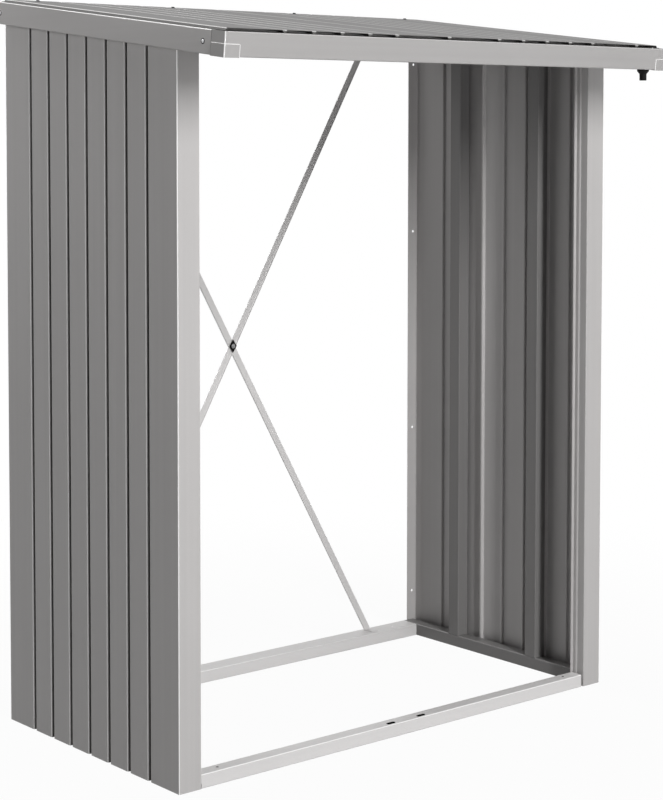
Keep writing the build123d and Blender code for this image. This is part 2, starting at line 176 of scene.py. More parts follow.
class LogStoreFinish(bpy.types.PropertyGroup):
    """Colours and gloss of the store's finishes, with lit and shaded copies of the one paint and painted
    highlights and shade.
    """
    paint_colour: bpy.props.FloatVectorProperty(
        name="Paint", description="Silver-grey coating of the sheet metal",
        subtype="COLOR", size=3, min=0.0, max=1.0, default=(0.473, 0.461, 0.457))
    paint_metallic: bpy.props.FloatProperty(
        name="Paint metallic", description="Share of metal flake in the coating",
        subtype="FACTOR", min=0.0, max=1.0, default=0.08)
    paint_roughness: bpy.props.FloatProperty(
        name="Paint roughness", description="Roughness of the coating",
        subtype="FACTOR", min=0.0, max=1.0, default=0.30)
    # Lit copy of the paint: lighter on the base rails and brace straps, painted light
    lit_base_colour: bpy.props.FloatVectorProperty(
        name="Base frame", description="Lighter zinc coating of the base rails and the brace straps",
        subtype="COLOR", size=3, min=0.0, max=1.0, default=(0.660, 0.648, 0.644))
    # Shaded copy of the paint: darker on the stiffeners, wall heads and side rails inside, painted shade
    shaded_inner_colour: bpy.props.FloatVectorProperty(
        name="Inner frame", description="Darker coating of the stiffeners, wall heads and side rails",
        subtype="COLOR", size=3, min=0.0, max=1.0, default=(0.195, 0.190, 0.188))
    # Shaded copy of the paint: a little darker on the gutter, end caps and cross members, painted shade
    shaded_gutter_colour: bpy.props.FloatVectorProperty(
        name="Gutter", description="Slightly darker coating of the gutter, end caps and cross members",
        subtype="COLOR", size=3, min=0.0, max=1.0, default=(0.375, 0.366, 0.363))
    # Shaded copy of the paint on the roof sheets: painted shade
    shaded_roof_colour: bpy.props.FloatVectorProperty(
        name="Roof", description="Coating of the roof sheets",
        subtype="COLOR", size=3, min=0.0, max=1.0, default=(0.150, 0.146, 0.144))
    # Painted shade: near-black on the roof sheets' undersides, which darkens the gap under the roof's front
    # edge
    underside_shade_colour: bpy.props.FloatVectorProperty(
        name="Roof felt", description="Dark felt on the underside of the roof sheets",
        subtype="COLOR", size=3, min=0.0, max=1.0, default=(0.030, 0.030, 0.030))
    underside_shade_reach: bpy.props.FloatProperty(
        name="Felt reach", description="Reach of the felt from the middle to each side",
        unit="LENGTH", default=0.745)
    # Painted highlight: brighter colour on folds that face the front, a side or up
    fold_highlight_colour: bpy.props.FloatVectorProperty(
        name="Folds", description="Brighter metal of the rubbed folds",
        subtype="COLOR", size=3, min=0.0, max=1.0, default=(0.580, 0.574, 0.570))
    # Painted highlight: brighter colour on the rails' and end caps' folds and on the cap beads
    edge_highlight_colour: bpy.props.FloatVectorProperty(
        name="Edges", description="Bright metal of the rails' and end caps' folds and beads",
        subtype="COLOR", size=3, min=0.0, max=1.0, default=(0.880, 0.875, 0.870))
    # Painted highlight: reach of the brightest colour on the posts' front corner folds
    corner_highlight_reach: bpy.props.FloatProperty(
        name="Corner reach", description="Depth over which the posts' front corners are rubbed bright",
        unit="LENGTH", default=0.006)
    # Extra metal on the folds that carry the painted highlight
    fold_metallic: bpy.props.FloatProperty(
        name="Fold metallic", description="Share of bare metal on the rubbed folds",
        subtype="FACTOR", min=0.0, max=1.0, default=0.40)
    # Painted shade: dark colour deep in the wall and roof grooves and in the front rail's hollow
    groove_shade_colour: bpy.props.FloatVectorProperty(
        name="Dust", description="Dark dust that sits deep in the grooves",
        subtype="COLOR", size=3, min=0.0, max=1.0, default=(0.110, 0.107, 0.104))
    roof_metallic: bpy.props.FloatProperty(
        name="Roof metallic", description="Share of metal flake in the roof sheets' coating",
        subtype="FACTOR", min=0.0, max=1.0, default=0.25)
    roof_roughness: bpy.props.FloatProperty(
        name="Roof roughness", description="Roughness of the roof sheets' coating",
        subtype="FACTOR", min=0.0, max=1.0, default=0.45)
    screw_colour: bpy.props.FloatVectorProperty(
        name="Screws", description="Plated heads of the fascia screws and the bolt",
        subtype="COLOR", size=3, min=0.0, max=1.0, default=(0.34, 0.34, 0.345))
    # Painted shade: near-black heads of the wall screws in the grooves' shadow, also used on the roof
    # screws
    shaded_screw_colour: bpy.props.FloatVectorProperty(
        name="Dark screws", description="Dark plated heads of the wall and roof screws",
        subtype="COLOR", size=3, min=0.0, max=1.0, default=(0.022, 0.022, 0.023))
    # Black of the spigot, brace clip, washers and plugs; on the washers and plugs it is painted shadow and
    # shade
    plastic_and_shadow_colour: bpy.props.FloatVectorProperty(
        name="Plastic", description="Black plastic of the spigot, brace clip, washers and plugs",
        subtype="COLOR", size=3, min=0.0, max=1.0, default=(0.004, 0.004, 0.004))
    plastic_gloss: bpy.props.FloatProperty(
        name="Plastic gloss", description="Surface reflection of the black plastic",
        subtype="FACTOR", min=0.0, max=1.0, default=0.12)


class LogStoreFixings(bpy.types.PropertyGroup):
    """Sizes and places of the screws, the bolt, the beads and the slot plugs, whose black is painted shade.
    """
    groove_depth: bpy.props.FloatProperty(
        name="Groove depth", description="Depth of the wall grooves that the wall screws sit in",
        unit="LENGTH", default=0.009)
    lap_edge: bpy.props.FloatProperty(
        name="Lap edge", description="Middle panel's edge past the middle of its joint groove",
        unit="LENGTH", default=0.0015)
    roof_fall: bpy.props.FloatProperty(
        name="Roof fall", description="Fall of the roof from the rear edge to the front",
        unit="LENGTH", default=0.120)
    wall_screw_radius: bpy.props.FloatProperty(
        name="Wall screw radius", description="Head radius of the screws in the wall grooves",
        unit="LENGTH", default=0.0034)
    wall_screw_height: bpy.props.FloatProperty(
        name="Wall screw height", description="Head height of the screws in the wall grooves",
        unit="LENGTH", default=0.0026)
    joint_screw_heights: bpy.props.FloatVectorProperty(
        name="Joint screws", description="Heights of the two screws in each joint groove",
        size=2, unit="LENGTH", default=(0.670, 1.306))
    foot_screw_height: bpy.props.FloatProperty(
        name="Foot screws", description="Height of the screws at the wall's foot",
        unit="LENGTH", default=0.028)
    fascia_screw_radius: bpy.props.FloatProperty(
        name="Fascia screw radius", description="Head radius of the screws in the side fascias",
        unit="LENGTH", default=0.0050)
    fascia_screw_height: bpy.props.FloatProperty(
        name="Fascia screw height", description="Head height of the screws in the side fascias",
        unit="LENGTH", default=0.0007)
    fascia_screw_places: bpy.props.FloatVectorProperty(
        name="Fascia screw places", description="Places of the rear and front fascia screws along the roof",
        size=2, unit="LENGTH", default=(0.4975, -0.426))
    fascia_screw_rise: bpy.props.FloatProperty(
        name="Fascia screw rise", description="Rise of the fascia screws from the roof's flats",
        unit="LENGTH", default=-0.0373)
    # Black discs under the fascia screws: painted shadow round each head
    washer_radius: bpy.props.FloatProperty(
        name="Washer radius", description="Radius of the rubber washers under the fascia screws",
        unit="LENGTH", default=0.0072)
    washer_height: bpy.props.FloatProperty(
        name="Washer height", description="Height of the rubber washers under the fascia screws",
        unit="LENGTH", default=0.0003)
    bead_radius: bpy.props.FloatProperty(
        name="Bead radius", description="Radius of the bead round the lower half of each end cap",
        unit="LENGTH", default=0.0012)
    cap_front: bpy.props.FloatProperty(
        name="Cap front", description="Run from the roof's rear edge to the end caps' front",
        unit="LENGTH", default=1.0292)
    cap_back: bpy.props.FloatProperty(
        name="Cap back", description="Run from the roof's rear edge to the end caps' back edge",
        unit="LENGTH", default=0.9752)
    cap_step: bpy.props.FloatProperty(
        name="Cap step", description="Rise of the end caps' step", unit="LENGTH", default=-0.0373)
    cap_low: bpy.props.FloatProperty(
        name="Cap foot", description="Rise of the end caps' lower edge", unit="LENGTH", default=-0.0684)
    cap_bend: bpy.props.FloatProperty(
        name="Cap bend", description="Outer radius of the end caps' corner fold",
        unit="LENGTH", default=0.003)
    # Matt black plug heads over the front rail's slots: painted shade for the dark slots
    plug_size: bpy.props.FloatVectorProperty(
        name="Slot plugs", description="Length, width and height of the plug heads on the front rail",
        size=3, unit="LENGTH", default=(0.0285, 0.0110, 0.0012))
    plug_place: bpy.props.FloatVectorProperty(
        name="Plug place", description="Middle of the right-hand plug head's seat on the rail",
        subtype="TRANSLATION", unit="LENGTH", default=(0.055, -0.279, 0.0367))
    roof_screw_radius: bpy.props.FloatProperty(
        name="Roof screw radius", description="Washer radius of the screws at the roof's rear edge",
        unit="LENGTH", default=0.0070)
    roof_screw_height: bpy.props.FloatProperty(
        name="Roof screw height", description="Height of the screws at the roof's rear edge",
        unit="LENGTH", default=0.0033)
    roof_screw_places: bpy.props.FloatVectorProperty(
        name="Roof screw places", description="Places of the outer and inner roof screws from the middle",
        size=2, unit="LENGTH", default=(0.680, 0.226))
    roof_screw_inset: bpy.props.FloatProperty(
        name="Roof screw inset", description="Run from the roof's rear edge to its screws",
        unit="LENGTH", default=0.033)
    bolt_radius: bpy.props.FloatProperty(
        name="Brace bolt radius", description="Washer radius of the bolt through the brace clip",
        unit="LENGTH", default=0.0068)
    bolt_height: bpy.props.FloatProperty(
        name="Brace bolt height", description="Height of the bolt head on the brace clip",
        unit="LENGTH", default=0.0045)


class LogStoreStage(bpy.types.PropertyGroup):
    """Camera, lamps and floor."""
    camera_place: bpy.props.FloatVectorProperty(
        name="Camera", description="Place of the camera",
        subtype="TRANSLATION", unit="LENGTH", default=(-3.4944, -4.0862, 1.6331))
    camera_turn: bpy.props.FloatVectorProperty(
        name="Camera turn", description="Tilt, roll and heading of the camera",
        subtype="EULER", unit="ROTATION",
        default=(math.radians(86.868), 0.0, math.radians(-39.496)))
    camera_lens: bpy.props.FloatProperty(
        name="Lens", description="Focal length of the camera on a 36 mm sensor",
        unit="CAMERA", default=86.834)
    camera_shift: bpy.props.FloatVectorProperty(
        name="Shift", description="Shift of the lens across and up", size=2, default=(0.03357, -0.205))
    key_strength: bpy.props.FloatProperty(
        name="Key strength", description="Strength of the soft lamp high in front", default=0.35)
    key_way: bpy.props.FloatVectorProperty(
        name="Key way", description="Direction from the store to the key lamp",
        subtype="DIRECTION", default=(0.296, -0.814, 0.500))
    key_spread: bpy.props.FloatProperty(
        name="Key spread", description="Angle that the key and right lamps fill",
        unit="ROTATION", default=math.radians(40.0))
    low_power: bpy.props.FloatProperty(
        name="Low strip power", description="Power of the low strip lamp at the front left", default=56.0)
    low_place: bpy.props.FloatVectorProperty(
        name="Low strip place", description="Middle of the low strip lamp",
        subtype="TRANSLATION", unit="LENGTH", default=(-0.8, -5.2, 0.6))
    low_size: bpy.props.FloatVectorProperty(
        name="Low strip size", description="Width and height of the low strip lamp",
        size=2, unit="LENGTH", default=(0.25, 2.1))
    high_power: bpy.props.FloatProperty(
        name="High strip power", description="Power of the high strip lamp in front", default=570.0)
    high_place: bpy.props.FloatVectorProperty(
        name="High strip place", description="Middle of the high strip lamp",
        subtype="TRANSLATION", unit="LENGTH", default=(-1.2, -7.5, 5.4))
    high_size: bpy.props.FloatVectorProperty(
        name="High strip size", description="Width and height of the high strip lamp",
        size=2, unit="LENGTH", default=(0.5, 4.4))
    side_power: bpy.props.FloatProperty(
        name="Side strip power", description="Power of the strip lamp at the rear left", default=11.0)
    side_place: bpy.props.FloatVectorProperty(
        name="Side strip place", description="Middle of the strip lamp at the rear left",
        subtype="TRANSLATION", unit="LENGTH", default=(-2.2, 1.4, 2.5))
    side_size: bpy.props.FloatVectorProperty(
        name="Side strip size", description="Width and height of the strip lamp at the rear left",
        size=2, unit="LENGTH", default=(0.6, 0.8))
    right_strength: bpy.props.FloatProperty(
        name="Right strength", description="Strength of the soft lamp at the right", default=1.5)
    right_way: bpy.props.FloatVectorProperty(
        name="Right way", description="Direction from the store to the right lamp",
        subtype="DIRECTION", default=(1.0, 0.0, 0.08))
    rear_strength: bpy.props.FloatProperty(
        name="Rear strength", description="Strength of the soft low lamp behind the store", default=1.2)
    rear_way: bpy.props.FloatVectorProperty(
        name="Rear way", description="Direction from the store to the rear lamp",
        subtype="DIRECTION", default=(0.25, 0.97, 0.05))
    back_strength: bpy.props.FloatProperty(
        name="Back strength", description="Strength of the lamp high at the back", default=0.9)
    back_way: bpy.props.FloatVectorProperty(
        name="Back way", description="Direction from the store to the back lamp",
        subtype="DIRECTION", default=(-0.15, 0.71, 0.69))
    back_spread: bpy.props.FloatProperty(
        name="Back spread", description="Angle that the back and rear lamps fill",
        unit="ROTATION", default=math.radians(20.0))
    sky_strength: bpy.props.FloatProperty(
        name="Sky strength", description="Even light from all round", default=0.0)
    floor_reach: bpy.props.FloatProperty(
        name="Floor reach", description="Half the width of the floor", unit="LENGTH", default=60.0)
    floor_shade: bpy.props.FloatProperty(
        name="Floor shade", description="Matt grey of the floor under its plain white",
        subtype="FACTOR", min=0.0, max=1.0, default=0.45)
    floor_white: bpy.props.FloatProperty(
        name="Floor white", description="Share of plain white in the floor as the camera sees it",
        subtype="FACTOR", min=0.0, max=1.0, default=0.96)
    floor_fade: bpy.props.FloatVectorProperty(
        name="Floor fade", description="Distances between which the floor turns to plain white",
        size=2, unit="LENGTH", default=(0.8, 3.0))


def new_node(tree, kind, values=None, **settings):
    """A shader node with these settings and input values."""
    node = tree.nodes.new(kind)
    for name, value in settings.items():
        setattr(node, name, value)
    for name, value in (values or {}).items():
        node.inputs[name].default_value = value
    return node


def new_material(name):
    """A material with an empty node tree and its output."""
    material = bpy.data.materials.new(name)
    material.use_nodes = True
    material.node_tree.nodes.clear()
    output = new_node(material.node_tree, "ShaderNodeOutputMaterial")
    return material, material.node_tree, output


def shade(colour, factor):
    """The colour made darker or lighter by the factor, with full alpha."""
    return tuple(channel * factor for channel in colour) + (1.0,)


def noise(tree, place, scale, detail=2.0):
    """Noise texture on these coordinates."""
    node = new_node(tree, "ShaderNodeTexNoise", {"Scale": scale, "Detail": detail})
    tree.links.new(place, node.inputs["Vector"])
    return node.outputs["Fac"]


def mixed(tree, operation, first, second):
    """One of the two-value sums on node outputs or plain numbers."""
    node = new_node(tree, "ShaderNodeMath", operation=operation)
    for socket, value in zip(node.inputs, (first, second)):
        if isinstance(value, float):
            socket.default_value = value
        else:
            tree.links.new(value, socket)
    return node.outputs[0]


def spread_over(tree, value, low, high, first, last):
    """A value's range from low to high carried over to the range from first to last, and held there."""
    node = new_node(tree, "ShaderNodeMapRange", {
        "From Min": low, "From Max": high, "To Min": first, "To Max": last})
    tree.links.new(value, node.inputs["Value"])
    return node.outputs["Result"]


def covered(tree, look, colour, share):
    """A colour laid over the look by this share."""
    cover = new_node(tree, "ShaderNodeMix", {"B": shade(colour, 1.0)}, data_type="RGBA")
    tree.links.new(share, cover.inputs["Factor"])
    tree.links.new(look, cover.inputs["A"])
    return cover.outputs["Result"]


def along(tree, vector, way):
    """How far a vector goes in a direction."""
    node = new_node(tree, "ShaderNodeVectorMath", operation="DOT_PRODUCT")
    node.inputs[1].default_value = way
    tree.links.new(vector, node.inputs[0])
    return node.outputs["Value"]


def fold_highlight_share(tree, normal):
    """Painted-highlight mask: 1 on rounded folds that face the front, a side or up; 0 on flats and other
    folds.
    """
    size = new_node(tree, "ShaderNodeVectorMath", operation="ABSOLUTE")
    tree.links.new(normal, size.inputs[0])
    parts = new_node(tree, "ShaderNodeSeparateXYZ")
    tree.links.new(size.outputs["Vector"], parts.inputs["Vector"])
    largest = mixed(tree, "MAXIMUM", parts.outputs["X"], parts.outputs["Y"])
    largest = mixed(tree, "MAXIMUM", largest, parts.outputs["Z"])
    turned = spread_over(tree, largest, *FOLD_TURN, 1.0, 0.0)
    front = mixed(tree, "LESS_THAN", along(tree, normal, BACKWARDS), FOLD_MOST_BACK)
    up = mixed(tree, "GREATER_THAN", along(tree, normal, UPWARDS), FOLD_MOST_DOWN)
    return mixed(tree, "MULTIPLY", turned, mixed(tree, "MULTIPLY", front, up))


def ranged(tree, value, low, high):
    """The middle of a noise stretched over the range from low to high."""
    return spread_over(tree, value, NOISE_LOW, NOISE_HIGH, low, high)


def tinted(tree, colour, tones, value):
    """The colour between its darkest and its lightest tone, by a noise."""
    darkest, lightest = tones
    tint = new_node(tree, "ShaderNodeMix", {"A": shade(colour, darkest), "B": shade(colour, lightest)},
                    data_type="RGBA")
    tree.links.new(ranged(tree, value, 0.0, 1.0), tint.inputs["Factor"])
    return tint.outputs["Result"]


def paint_material(name, colour, metallic, roughness, streak_scale, folds, groove=None, underside_shade=None,
                   corner=None):
    """Silver-grey coating: a grey with a slow mottle, faint rolled streaks and fine metal flake.

    The folds' facts paint a highlight on folds: a brighter colour and more metal. With a groove's outward
    direction, the level of the flats and the depths, painted shade darkens what lies deeper. With a dark
    colour and reach, faces that look down take painted shade instead. With a corner's colour and level,
    folds ahead of the level take a brighter painted highlight still.
    """
    material, tree, output = new_material(name)
    coordinates = new_node(tree, "ShaderNodeTexCoord")
    place, normal = coordinates.outputs["Object"], coordinates.outputs["Normal"]
    streak_way = new_node(tree, "ShaderNodeMapping", {"Scale": streak_scale})
    tree.links.new(place, streak_way.inputs["Vector"])
    streak = noise(tree, streak_way.outputs["Vector"], 1.0, detail=3.0)
    mottle = noise(tree, place, MOTTLE_SCALE)
    flake = noise(tree, place, FLAKE_SCALE, detail=1.0)
    peel = noise(tree, place, PEEL_SCALE, detail=1.0)

    streak_tone = mixed(tree, "MULTIPLY", streak, STREAK_SHARE)
    tone = mixed(tree, "ADD", streak_tone, mixed(tree, "MULTIPLY", mottle, MOTTLE_SHARE))
    tone = mixed(tree, "ADD", tone, mixed(tree, "MULTIPLY", flake, FLAKE_SHARE))
    look = tinted(tree, colour, PAINT_TONES, tone)

    coat = new_node(tree, "ShaderNodeBsdfPrincipled", {
        "Metallic": metallic, "Specular IOR Level": PAINT_SPECULAR, "Specular Tint": PAINT_SPECULAR_TINT})
    # Painted highlight: folds that face the front, a side or up take a brighter colour and more metal
    if folds:
        fold_highlight_colour, fold_metallic, groove_shade = folds
        fold = fold_highlight_share(tree, normal)
        # Painted shade: outward faces that lie deeper than the flats go dark
        if groove:
            out, level, (shade_start, shade_full) = groove
            outward = mixed(tree, "GREATER_THAN", along(tree, normal, out), OUTWARD_LEAST)
            deep = spread_over(tree, along(tree, place, out), level - shade_full, level - shade_start, 1.0, 0.0)
            look = covered(tree, look, groove_shade, mixed(tree, "MULTIPLY", deep, outward))
            fold = mixed(tree, "MULTIPLY", fold, mixed(tree, "SUBTRACT", outward, deep))
        look = covered(tree, look, fold_highlight_colour, fold)
        # Painted highlight, brighter still, on folds ahead of the posts' front
        if corner:
            corner_highlight_colour, corner_level = corner
            ahead = mixed(tree, "LESS_THAN", along(tree, place, BACKWARDS), corner_level)
            look = covered(tree, look, corner_highlight_colour, mixed(tree, "MULTIPLY", fold, ahead))
        tree.links.new(spread_over(tree, fold, 0.0, 1.0, metallic, fold_metallic), coat.inputs["Metallic"])
    # Painted shade: faces that look down, within the reach from the middle, go near-black
    if underside_shade:
        underside_shade_colour, underside_shade_reach = underside_shade
        down = mixed(tree, "LESS_THAN", along(tree, normal, UPWARDS), UNDERSIDE_DOWN)
        aside = mixed(tree, "ABSOLUTE", along(tree, place, SIDEWAYS), 0.0)
        within = mixed(tree, "LESS_THAN", aside, underside_shade_reach)
        look = covered(tree, look, underside_shade_colour, mixed(tree, "MULTIPLY", down, within))

    bump = new_node(tree, "ShaderNodeBump", PAINT_BUMP)
    tree.links.new(peel, bump.inputs["Height"])

    tree.links.new(look, coat.inputs["Base Color"])
    dull = ranged(tree, streak, roughness - ROUGHNESS_SWING, roughness + ROUGHNESS_SWING)
    tree.links.new(dull, coat.inputs["Roughness"])
    tree.links.new(bump.outputs["Normal"], coat.inputs["Normal"])
    tree.links.new(coat.outputs["BSDF"], output.inputs["Surface"])
    return material


def plastic_material(name, colour, gloss):
    """Black moulded plastic with a fine grained skin, faint moulding marks and this much surface gloss."""
    material, tree, output = new_material(name)
    place = new_node(tree, "ShaderNodeTexCoord").outputs["Object"]
    grain = noise(tree, place, GRAIN_SCALE)
    flow = noise(tree, place, FLOW_SCALE)
    bump = new_node(tree, "ShaderNodeBump", PLASTIC_BUMP)
    tree.links.new(grain, bump.inputs["Height"])
    skin = new_node(tree, "ShaderNodeBsdfPrincipled", {"Metallic": 0.0, "Specular IOR Level": gloss})
    tree.links.new(tinted(tree, colour, PLASTIC_TONES, flow), skin.inputs["Base Color"])
    tree.links.new(ranged(tree, flow, *PLASTIC_ROUGHNESS), skin.inputs["Roughness"])
    tree.links.new(bump.outputs["Normal"], skin.inputs["Normal"])
    tree.links.new(skin.outputs["BSDF"], output.inputs["Surface"])
    return material


def screw_material(name, colour):
    """Plated steel: a cool grey metal with fine cloudy patches in its gloss."""
    material, tree, output = new_material(name)
    place = new_node(tree, "ShaderNodeTexCoord").outputs["Object"]
    cloud = noise(tree, place, CLOUD_SCALE)
    metal = new_node(tree, "ShaderNodeBsdfPrincipled", {"Metallic": 1.0})
    tree.links.new(tinted(tree, colour, SCREW_TONES, cloud), metal.inputs["Base Color"])
    tree.links.new(ranged(tree, cloud, *SCREW_ROUGHNESS), metal.inputs["Roughness"])
    tree.links.new(metal.outputs["BSDF"], output.inputs["Surface"])
    return material


def named_material(name, maker, *facts):
    """The material of this name, made the first time that it is asked for."""
    return bpy.data.materials.get(name) or maker(name, *facts)


def plated(context):
    """The plated metal of the fascia screws and the bolt."""
    return named_material("plated_steel", screw_material, context.scene.log_store_finish.screw_colour[:])


def black_plastic_and_shadow(context):
    """The black plastic of the spigot and the clip, also on the washers, where the black is painted shadow
    round the fascia screws.
    """
    finish = context.scene.log_store_finish
    return named_material("moulded_black", plastic_material, finish.plastic_and_shadow_colour[:], finish.plastic_gloss)


def matt_rubber(context):
    """Matt black with no gloss on the slot plugs: painted shade for the slots' dark insides."""
    finish = context.scene.log_store_finish
    return named_material("matt_rubber", plastic_material, finish.plastic_and_shadow_colour[:], 0.0)


def shaded_plated(context):
    """Near-black plated metal of the wall and roof screws; the near-black is painted shade for heads in the
    grooves' shadow.
    """
    finish = context.scene.log_store_finish
    return named_material("dark_plated_steel", screw_material, finish.shaded_screw_colour[:])


def square_axes(outs):
    """Two unit vectors square to each outward direction and to each other."""
    helper = np.where(np.abs(outs[:, 2:3]) > NEAR_UPRIGHT, [SIDEWAYS], [UPWARDS])
    first = np.cross(helper, outs)
    first /= np.linalg.norm(first, axis=1, keepdims=True)
    return first, np.cross(outs, first)


def turned_heads(profile, centres, outs, radius, height, middle, stretch=0.0, around=HEAD_SIDES):
    """Heads turned about their axes, all alike.

    point(u, v) = centre + out * height(u) + radius(u) * facet(u, v) * (a cos v + b sin v), where u runs
    along the profile, v goes round, and facet pulls a round ring to a hexagon by the profile's share.
    A stretch moves the two halves of each ring apart along b.
    """
    turn = np.arange(around) * (2 * np.pi / around)
    hexagon = np.cos(np.pi / 6) / np.cos(np.mod(turn, np.pi / 3) - np.pi / 6)
    facet = 1.0 + profile[:, 2:3] * (hexagon[None, :] - 1.0)
    reach = radius * profile[:, 0:1] * facet
    first, second = square_axes(outs)
    ring = reach[..., None] * np.cos(turn)[None, :, None] * first[:, None, None, :]
    longer = reach * np.sin(turn)[None, :] + stretch * np.sign(np.round(np.sin(turn), 6))[None, :]
    ring = ring + longer[..., None] * second[:, None, None, :]
    lift = (height * profile[:, 1])[None, :, None, None] * outs[:, None, None, :]
    rings = centres[:, None, None, :] + lift + ring
    bottoms = centres[:, None, :]
    tops = (centres + outs * (height * middle))[:, None, :]
    heads, levels = len(centres), len(profile)
    points = np.concatenate([bottoms, rings.reshape(heads, levels * around, 3), tops], axis=1)
    return points.reshape(-1, 3), turned_faces(heads, levels, around)


def turned_faces(heads, levels, around):
    """Faces of turned heads: a fan at the seat, bands of quads between the rings, a fan at the middle."""
    each = levels * around + 2
    here = np.arange(around)
    after = np.roll(here, -1)
    level = 1 + np.arange(levels - 1)[:, None] * around
    quads = np.stack([level + here, level + after, level + around + after, level + around + here], axis=-1)
    last = 1 + (levels - 1) * around
    seat = np.stack([np.zeros_like(here), 1 + after, 1 + here], axis=-1)
    cap = np.stack([np.full_like(here, each - 1), last + here, last + after], axis=-1)
    start = np.arange(heads)[:, None, None] * each
    quads = (quads.reshape(1, -1, 4) + start).reshape(-1, 4)
    fans = (np.concatenate([seat, cap])[None] + start).reshape(-1, 3)
    return quads.tolist() + fans.tolist()


def carried_beads(paths, up, radius, around=BEAD_SIDES):
    """Round beads along paths: point(u, v) = path(u) + radius * (side(u) cos v + up sin v).

    Side is square to the path and to up, which is square to the path all along.
    """
    turn = np.arange(around) * (2 * np.pi / around)
    ahead = np.gradient(paths, axis=1)
    ahead /= np.linalg.norm(ahead, axis=2, keepdims=True)
    side = np.cross(up, ahead)[:, :, None, :]
    ring = radius * (np.cos(turn)[:, None] * side + np.sin(turn)[:, None] * up)
    rings = (paths[:, :, None, :] + ring).reshape(len(paths), -1, 3)
    points = np.concatenate([paths[:, :1], rings, paths[:, -1:]], axis=1)
    return points.reshape(-1, 3), turned_faces(len(paths), paths.shape[1], around)


def new_piece(name, points, faces, material, replaced=None):
    """A shaded mesh object that rides on the store, with its place in its mesh."""
    mesh = bpy.data.meshes.new(name)
    mesh.from_pydata(points, [], faces)
    mesh.polygons.foreach_set("use_smooth", np.ones(len(mesh.polygons), dtype=bool))
    mesh.set_sharp_from_angle(angle=SHARP_ANGLE)
    mesh.validate()
    mesh.materials.append(material)
    piece = bpy.data.objects.new(name, mesh)
    bpy.context.scene.collection.objects.link(piece)
    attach(piece, BODY)
    if replaced:
        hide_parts(replaced)
    return piece


def rows(*columns):
    """Columns of numbers, or single numbers, side by side as rows."""
    columns = [np.asarray(column, dtype=float) for column in columns]
    return np.stack(np.broadcast_arrays(*columns), axis=-1)


def both_sides(points):
    """The points and their mirror images in the middle plane."""
    return np.concatenate([points, points * (-1.0, 1.0, 1.0)])


def side_outs(points):
    """Outward directions of points on the side walls."""
    return rows(np.sign(points[:, 0]), 0.0, 0.0)


class RoofPlace:
    """Places on the roof: run goes down the slope from the rear edge, rise is square to the flats."""

    def __init__(self, fall):
        depth = CAD_HIGH.y - CAD_LOW.y
        self.angle = math.atan2(fall, depth)
        self.normal = np.array([0.0, -math.sin(self.angle), math.cos(self.angle)])
        self.down = np.array([0.0, -math.cos(self.angle), -math.sin(self.angle)])

    def points(self, across, run, rise):
        """Points at these places across, down the slope and above the flats."""
        cosine, sine = math.cos(self.angle), math.sin(self.angle)
        run, rise = np.asarray(run, dtype=float), np.asarray(rise, dtype=float)
        back = CAD_HIGH.y - run * cosine - rise * sine
        return rows(across, back, CAD_HIGH.z - run * sine + rise * cosine)


